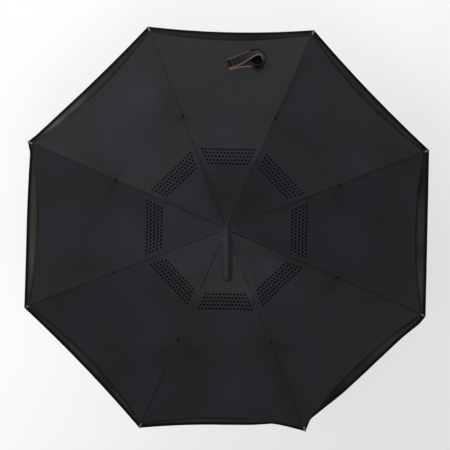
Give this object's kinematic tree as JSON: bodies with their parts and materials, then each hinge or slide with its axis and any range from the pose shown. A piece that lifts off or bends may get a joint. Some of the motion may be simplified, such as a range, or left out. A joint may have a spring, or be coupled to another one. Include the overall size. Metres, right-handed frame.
{
  "type": "inverted umbrella",
  "caption": "Inverted umbrella with a double-layer vented canopy, folding ribs, sliding runner and C-shaped grip, modelled open.",
  "frame": {"origin": "centre of the C-shaped grip, on the shaft's axis", "axes": "+Z along the shaft towards the crown and the sky side; +X out of the C-shaped grip's mouth; +Y completes the frame"},
  "size_m": [0.9808, 0.9808, 0.5704],
  "materials": {
    "canopy_cloth": "matt black woven pongee",
    "lining_cloth": "matt very dark olive grey woven pongee",
    "strap_webbing": "black woven tape with copper-coloured stitching",
    "frame_steel": "black coated steel",
    "tip_metal": "nickel plated, softly polished",
    "frame_nylon": "black moulded nylon",
    "rod_fibre": "black glass fibre rod",
    "grip_rubber": "black soft-touch rubber coating"
  },
  "bodies": {
    "shaft": {"shaft_tube": "frame_steel", "handle_grip": "grip_rubber", "handle_collar": "frame_nylon", "crown_hub": "frame_nylon", "crown_wire": "frame_steel", "crown_cap": "frame_nylon", "upper_canopy": "canopy_cloth", "lower_canopy": "lining_cloth", "centre_sleeve": "canopy_cloth", "tie_strap": "strap_webbing"},
    "runner": {"runner_hub": "frame_nylon", "runner_grip": "frame_nylon"},
    "button": {"release_button": "tip_metal"},
    "upper_spoke_1": {"upper_spoke_1": "frame_steel"},
    "lower_spoke_1": {"lower_spoke_1": "frame_steel"},
    "rib_1": {"elbow_joint_1": "frame_nylon", "rib_rod_1": "rod_fibre", "rib_tip_1": "tip_metal"},
    "upper_spoke_2": {"upper_spoke_2": "frame_steel"},
    "lower_spoke_2": {"lower_spoke_2": "frame_steel"},
    "rib_2": {"elbow_joint_2": "frame_nylon", "rib_rod_2": "rod_fibre", "rib_tip_2": "tip_metal"},
    "upper_spoke_3": {"upper_spoke_3": "frame_steel"},
    "lower_spoke_3": {"lower_spoke_3": "frame_steel"},
    "rib_3": {"elbow_joint_3": "frame_nylon", "rib_rod_3": "rod_fibre", "rib_tip_3": "tip_metal"},
    "upper_spoke_4": {"upper_spoke_4": "frame_steel"},
    "lower_spoke_4": {"lower_spoke_4": "frame_steel"},
    "rib_4": {"elbow_joint_4": "frame_nylon", "rib_rod_4": "rod_fibre", "rib_tip_4": "tip_metal"},
    "upper_spoke_5": {"upper_spoke_5": "frame_steel"},
    "lower_spoke_5": {"lower_spoke_5": "frame_steel"},
    "rib_5": {"elbow_joint_5": "frame_nylon", "rib_rod_5": "rod_fibre", "rib_tip_5": "tip_metal"},
    "upper_spoke_6": {"upper_spoke_6": "frame_steel"},
    "lower_spoke_6": {"lower_spoke_6": "frame_steel"},
    "rib_6": {"elbow_joint_6": "frame_nylon", "rib_rod_6": "rod_fibre", "rib_tip_6": "tip_metal"},
    "upper_spoke_7": {"upper_spoke_7": "frame_steel"},
    "lower_spoke_7": {"lower_spoke_7": "frame_steel"},
    "rib_7": {"elbow_joint_7": "frame_nylon", "rib_rod_7": "rod_fibre", "rib_tip_7": "tip_metal"},
    "upper_spoke_8": {"upper_spoke_8": "frame_steel"},
    "lower_spoke_8": {"lower_spoke_8": "frame_steel"},
    "rib_8": {"elbow_joint_8": "frame_nylon", "rib_rod_8": "rod_fibre", "rib_tip_8": "tip_metal"}
  },
  "joints": [
    {"name": "runner_slide", "type": "slide", "parent": "shaft", "child": "runner", "axis": [0, 0, -1], "range_m": [0, 0.25707], "deforming": ["upper_canopy", "lower_canopy", "centre_sleeve", "tie_strap"]},
    {"name": "button_press", "type": "slide", "parent": "runner", "child": "button", "axis": [0, 1, 0], "range_m": [0, 0.002], "stiffness_N_per_m": 300, "springref_m": -0.004},
    {"name": "crown_hinge_1", "type": "hinge", "parent": "shaft", "child": "upper_spoke_1", "pos_m": [0.01478, 0.00612, 0.49346], "axis": [-0.3827, 0.9239, 0], "range_deg": [0, 75]},
    {"name": "elbow_hinge_1", "type": "hinge", "parent": "upper_spoke_1", "child": "lower_spoke_1", "pos_m": [0.16168, 0.06697, 0.45966], "axis": [-0.3827, 0.9239, 0], "range_deg": [-150, 0]},
    {"name": "rib_bend_1", "type": "hinge", "parent": "lower_spoke_1", "child": "rib_1", "pos_m": [0.16168, 0.06697, 0.45966], "axis": [-0.3827, 0.9239, 0], "range_deg": [-34, 0]},
    {"name": "crown_hinge_2", "type": "hinge", "parent": "shaft", "child": "upper_spoke_2", "pos_m": [0.00612, 0.01478, 0.49346], "axis": [-0.9239, 0.3827, 0], "range_deg": [0, 75]},
    {"name": "elbow_hinge_2", "type": "hinge", "parent": "upper_spoke_2", "child": "lower_spoke_2", "pos_m": [0.06697, 0.16168, 0.45966], "axis": [-0.9239, 0.3827, 0], "range_deg": [-150, 0]},
    {"name": "rib_bend_2", "type": "hinge", "parent": "lower_spoke_2", "child": "rib_2", "pos_m": [0.06697, 0.16168, 0.45966], "axis": [-0.9239, 0.3827, 0], "range_deg": [-34, 0]},
    {"name": "crown_hinge_3", "type": "hinge", "parent": "shaft", "child": "upper_spoke_3", "pos_m": [-0.00612, 0.01478, 0.49346], "axis": [-0.9239, -0.3827, 0], "range_deg": [0, 75]},
    {"name": "elbow_hinge_3", "type": "hinge", "parent": "upper_spoke_3", "child": "lower_spoke_3", "pos_m": [-0.06697, 0.16168, 0.45966], "axis": [-0.9239, -0.3827, 0], "range_deg": [-150, 0]},
    {"name": "rib_bend_3", "type": "hinge", "parent": "lower_spoke_3", "child": "rib_3", "pos_m": [-0.06697, 0.16168, 0.45966], "axis": [-0.9239, -0.3827, 0], "range_deg": [-34, 0]},
    {"name": "crown_hinge_4", "type": "hinge", "parent": "shaft", "child": "upper_spoke_4", "pos_m": [-0.01478, 0.00612, 0.49346], "axis": [-0.3827, -0.9239, 0], "range_deg": [0, 75]},
    {"name": "elbow_hinge_4", "type": "hinge", "parent": "upper_spoke_4", "child": "lower_spoke_4", "pos_m": [-0.16168, 0.06697, 0.45966], "axis": [-0.3827, -0.9239, 0], "range_deg": [-150, 0]},
    {"name": "rib_bend_4", "type": "hinge", "parent": "lower_spoke_4", "child": "rib_4", "pos_m": [-0.16168, 0.06697, 0.45966], "axis": [-0.3827, -0.9239, 0], "range_deg": [-34, 0]},
    {"name": "crown_hinge_5", "type": "hinge", "parent": "shaft", "child": "upper_spoke_5", "pos_m": [-0.01478, -0.00612, 0.49346], "axis": [0.3827, -0.9239, 0], "range_deg": [0, 75]},
    {"name": "elbow_hinge_5", "type": "hinge", "parent": "upper_spoke_5", "child": "lower_spoke_5", "pos_m": [-0.16168, -0.06697, 0.45966], "axis": [0.3827, -0.9239, 0], "range_deg": [-150, 0]},
    {"name": "rib_bend_5", "type": "hinge", "parent": "lower_spoke_5", "child": "rib_5", "pos_m": [-0.16168, -0.06697, 0.45966], "axis": [0.3827, -0.9239, 0], "range_deg": [-34, 0]},
    {"name": "crown_hinge_6", "type": "hinge", "parent": "shaft", "child": "upper_spoke_6", "pos_m": [-0.00612, -0.01478, 0.49346], "axis": [0.9239, -0.3827, 0], "range_deg": [0, 75]},
    {"name": "elbow_hinge_6", "type": "hinge", "parent": "upper_spoke_6", "child": "lower_spoke_6", "pos_m": [-0.06697, -0.16168, 0.45966], "axis": [0.9239, -0.3827, 0], "range_deg": [-150, 0]},
    {"name": "rib_bend_6", "type": "hinge", "parent": "lower_spoke_6", "child": "rib_6", "pos_m": [-0.06697, -0.16168, 0.45966], "axis": [0.9239, -0.3827, 0], "range_deg": [-34, 0]},
    {"name": "crown_hinge_7", "type": "hinge", "parent": "shaft", "child": "upper_spoke_7", "pos_m": [0.00612, -0.01478, 0.49346], "axis": [0.9239, 0.3827, 0], "range_deg": [0, 75]},
    {"name": "elbow_hinge_7", "type": "hinge", "parent": "upper_spoke_7", "child": "lower_spoke_7", "pos_m": [0.06697, -0.16168, 0.45966], "axis": [0.9239, 0.3827, 0], "range_deg": [-150, 0]},
    {"name": "rib_bend_7", "type": "hinge", "parent": "lower_spoke_7", "child": "rib_7", "pos_m": [0.06697, -0.16168, 0.45966], "axis": [0.9239, 0.3827, 0], "range_deg": [-34, 0]},
    {"name": "crown_hinge_8", "type": "hinge", "parent": "shaft", "child": "upper_spoke_8", "pos_m": [0.01478, -0.00612, 0.49346], "axis": [0.3827, 0.9239, 0], "range_deg": [0, 75]},
    {"name": "elbow_hinge_8", "type": "hinge", "parent": "upper_spoke_8", "child": "lower_spoke_8", "pos_m": [0.16168, -0.06697, 0.45966], "axis": [0.3827, 0.9239, 0], "range_deg": [-150, 0]},
    {"name": "rib_bend_8", "type": "hinge", "parent": "lower_spoke_8", "child": "rib_8", "pos_m": [0.16168, -0.06697, 0.45966], "axis": [0.3827, 0.9239, 0], "range_deg": [-34, 0]}
  ],
  "couplings": [
    {"joint": "crown_hinge_1", "follows": "runner_slide", "rad_per_m": 5.092},
    {"joint": "elbow_hinge_1", "follows": "runner_slide", "rad_per_m": -10.184},
    {"joint": "rib_bend_1", "follows": "runner_slide", "rad_per_m": -2.3084},
    {"joint": "crown_hinge_2", "follows": "runner_slide", "rad_per_m": 5.092},
    {"joint": "elbow_hinge_2", "follows": "runner_slide", "rad_per_m": -10.184},
    {"joint": "rib_bend_2", "follows": "runner_slide", "rad_per_m": -2.3084},
    {"joint": "crown_hinge_3", "follows": "runner_slide", "rad_per_m": 5.092},
    {"joint": "elbow_hinge_3", "follows": "runner_slide", "rad_per_m": -10.184},
    {"joint": "rib_bend_3", "follows": "runner_slide", "rad_per_m": -2.3084},
    {"joint": "crown_hinge_4", "follows": "runner_slide", "rad_per_m": 5.092},
    {"joint": "elbow_hinge_4", "follows": "runner_slide", "rad_per_m": -10.184},
    {"joint": "rib_bend_4", "follows": "runner_slide", "rad_per_m": -2.3084},
    {"joint": "crown_hinge_5", "follows": "runner_slide", "rad_per_m": 5.092},
    {"joint": "elbow_hinge_5", "follows": "runner_slide", "rad_per_m": -10.184},
    {"joint": "rib_bend_5", "follows": "runner_slide", "rad_per_m": -2.3084},
    {"joint": "crown_hinge_6", "follows": "runner_slide", "rad_per_m": 5.092},
    {"joint": "elbow_hinge_6", "follows": "runner_slide", "rad_per_m": -10.184},
    {"joint": "rib_bend_6", "follows": "runner_slide", "rad_per_m": -2.3084},
    {"joint": "crown_hinge_7", "follows": "runner_slide", "rad_per_m": 5.092},
    {"joint": "elbow_hinge_7", "follows": "runner_slide", "rad_per_m": -10.184},
    {"joint": "rib_bend_7", "follows": "runner_slide", "rad_per_m": -2.3084},
    {"joint": "crown_hinge_8", "follows": "runner_slide", "rad_per_m": 5.092},
    {"joint": "elbow_hinge_8", "follows": "runner_slide", "rad_per_m": -10.184},
    {"joint": "rib_bend_8", "follows": "runner_slide", "rad_per_m": -2.3084}
  ]
}
